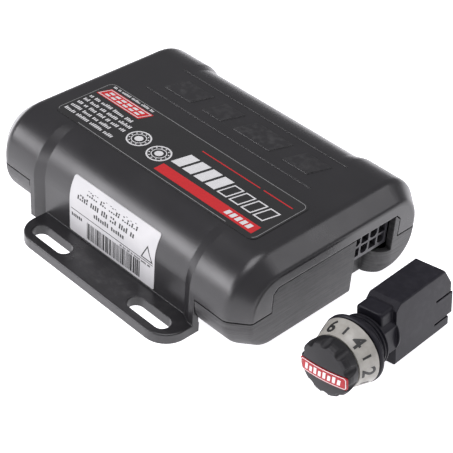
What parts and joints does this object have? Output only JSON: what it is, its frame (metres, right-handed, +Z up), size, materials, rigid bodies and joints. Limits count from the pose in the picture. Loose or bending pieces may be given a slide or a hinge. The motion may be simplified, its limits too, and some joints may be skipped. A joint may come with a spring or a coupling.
{
  "type": "trailer brake controller",
  "caption": "Flanged in-cab trailer brake controller with a power header, and its dash-mounted remote head with a turn-and-push numbered knob.",
  "frame": {"origin": "centre of the main unit's flat underside", "axes": "+X along the case towards its connector end, +Y across towards the far flange, +Z up out of the labelled top"},
  "size_m": [0.1563, 0.111, 0.0333],
  "materials": {
    "case_plastic": "fine-spark moulded texture, satin",
    "base_plastic": "coarser moulded texture, matt",
    "board_green": "solder-masked glass laminate",
    "header_plastic": "glass-filled nylon",
    "tinned_brass": "tin plated",
    "chip_epoxy": "moulded epoxy",
    "thermal_pad": "soft gap filler",
    "aluminium": "extruded, plain",
    "zinc_steel": "zinc plated",
    "capacitor_sleeve": "shrink sleeve",
    "copper_winding": "enamelled copper",
    "shunt_alloy": "bare alloy strip",
    "top_label_film": "printed polycarbonate film, satin",
    "side_label_paper": "coated label stock",
    "remote_plastic": "fine matt moulding",
    "encoder_metal": "plated die casting",
    "clear_acrylic": "moulded clear",
    "lamp_resin": "clear resin",
    "dial_plastic": "translucent, satin",
    "knob_plastic": "soft-touch matt",
    "red_inlay": "gloss"
  },
  "bodies": {
    "main_unit": {"upper_cover": "case_plastic", "base_cover": "base_plastic", "circuit_board": "board_green", "power_header": "header_plastic", "header_pins": "tinned_brass", "power_transistors": "chip_epoxy", "thermal_pad": "thermal_pad", "heat_spreader": "aluminium", "case_screws": "zinc_steel", "board_screws": "zinc_steel", "spreader_screws": "zinc_steel", "filter_capacitors": "capacitor_sleeve", "suppression_choke": "copper_winding", "microcontroller": "chip_epoxy", "accelerometer": "chip_epoxy", "voltage_regulator": "chip_epoxy", "transient_suppressor": "chip_epoxy", "shunt_resistor": "shunt_alloy", "top_label": "top_label_film", "side_label": "side_label_paper"},
    "remote_head": {"remote_body": "remote_plastic", "bezel_ring": "remote_plastic", "encoder_body": "encoder_metal", "encoder_nut": "zinc_steel", "switch_dome": "zinc_steel", "light_guide": "clear_acrylic", "indicator_lamps": "lamp_resin", "remote_board": "board_green", "remote_chip": "chip_epoxy", "lead_socket": "header_plastic", "socket_contacts": "tinned_brass"},
    "plunger": {"push_plunger": "encoder_metal"},
    "knob": {"knob_shaft": "encoder_metal", "number_dial": "dial_plastic", "control_knob": "knob_plastic", "knob_plate": "red_inlay"}
  },
  "joints": [
    {"name": "remote_lift", "type": "slide", "parent": "main_unit", "child": "remote_head", "axis": [0, 0, 1], "range_m": [0, 0.06]},
    {"name": "knob_push", "type": "slide", "parent": "remote_head", "child": "plunger", "axis": [-0.0401, 0.9992, 0], "range_m": [0, 0.0006], "stiffness_N_per_m": 4000, "springref_m": -0.0003},
    {"name": "knob_turn", "type": "hinge", "parent": "plunger", "child": "knob", "pos_m": [0.08445, -0.0074, 0.01138], "axis": [0.0401, -0.9992, 0], "range_deg": [-141.6, 153.4]}
  ]
}
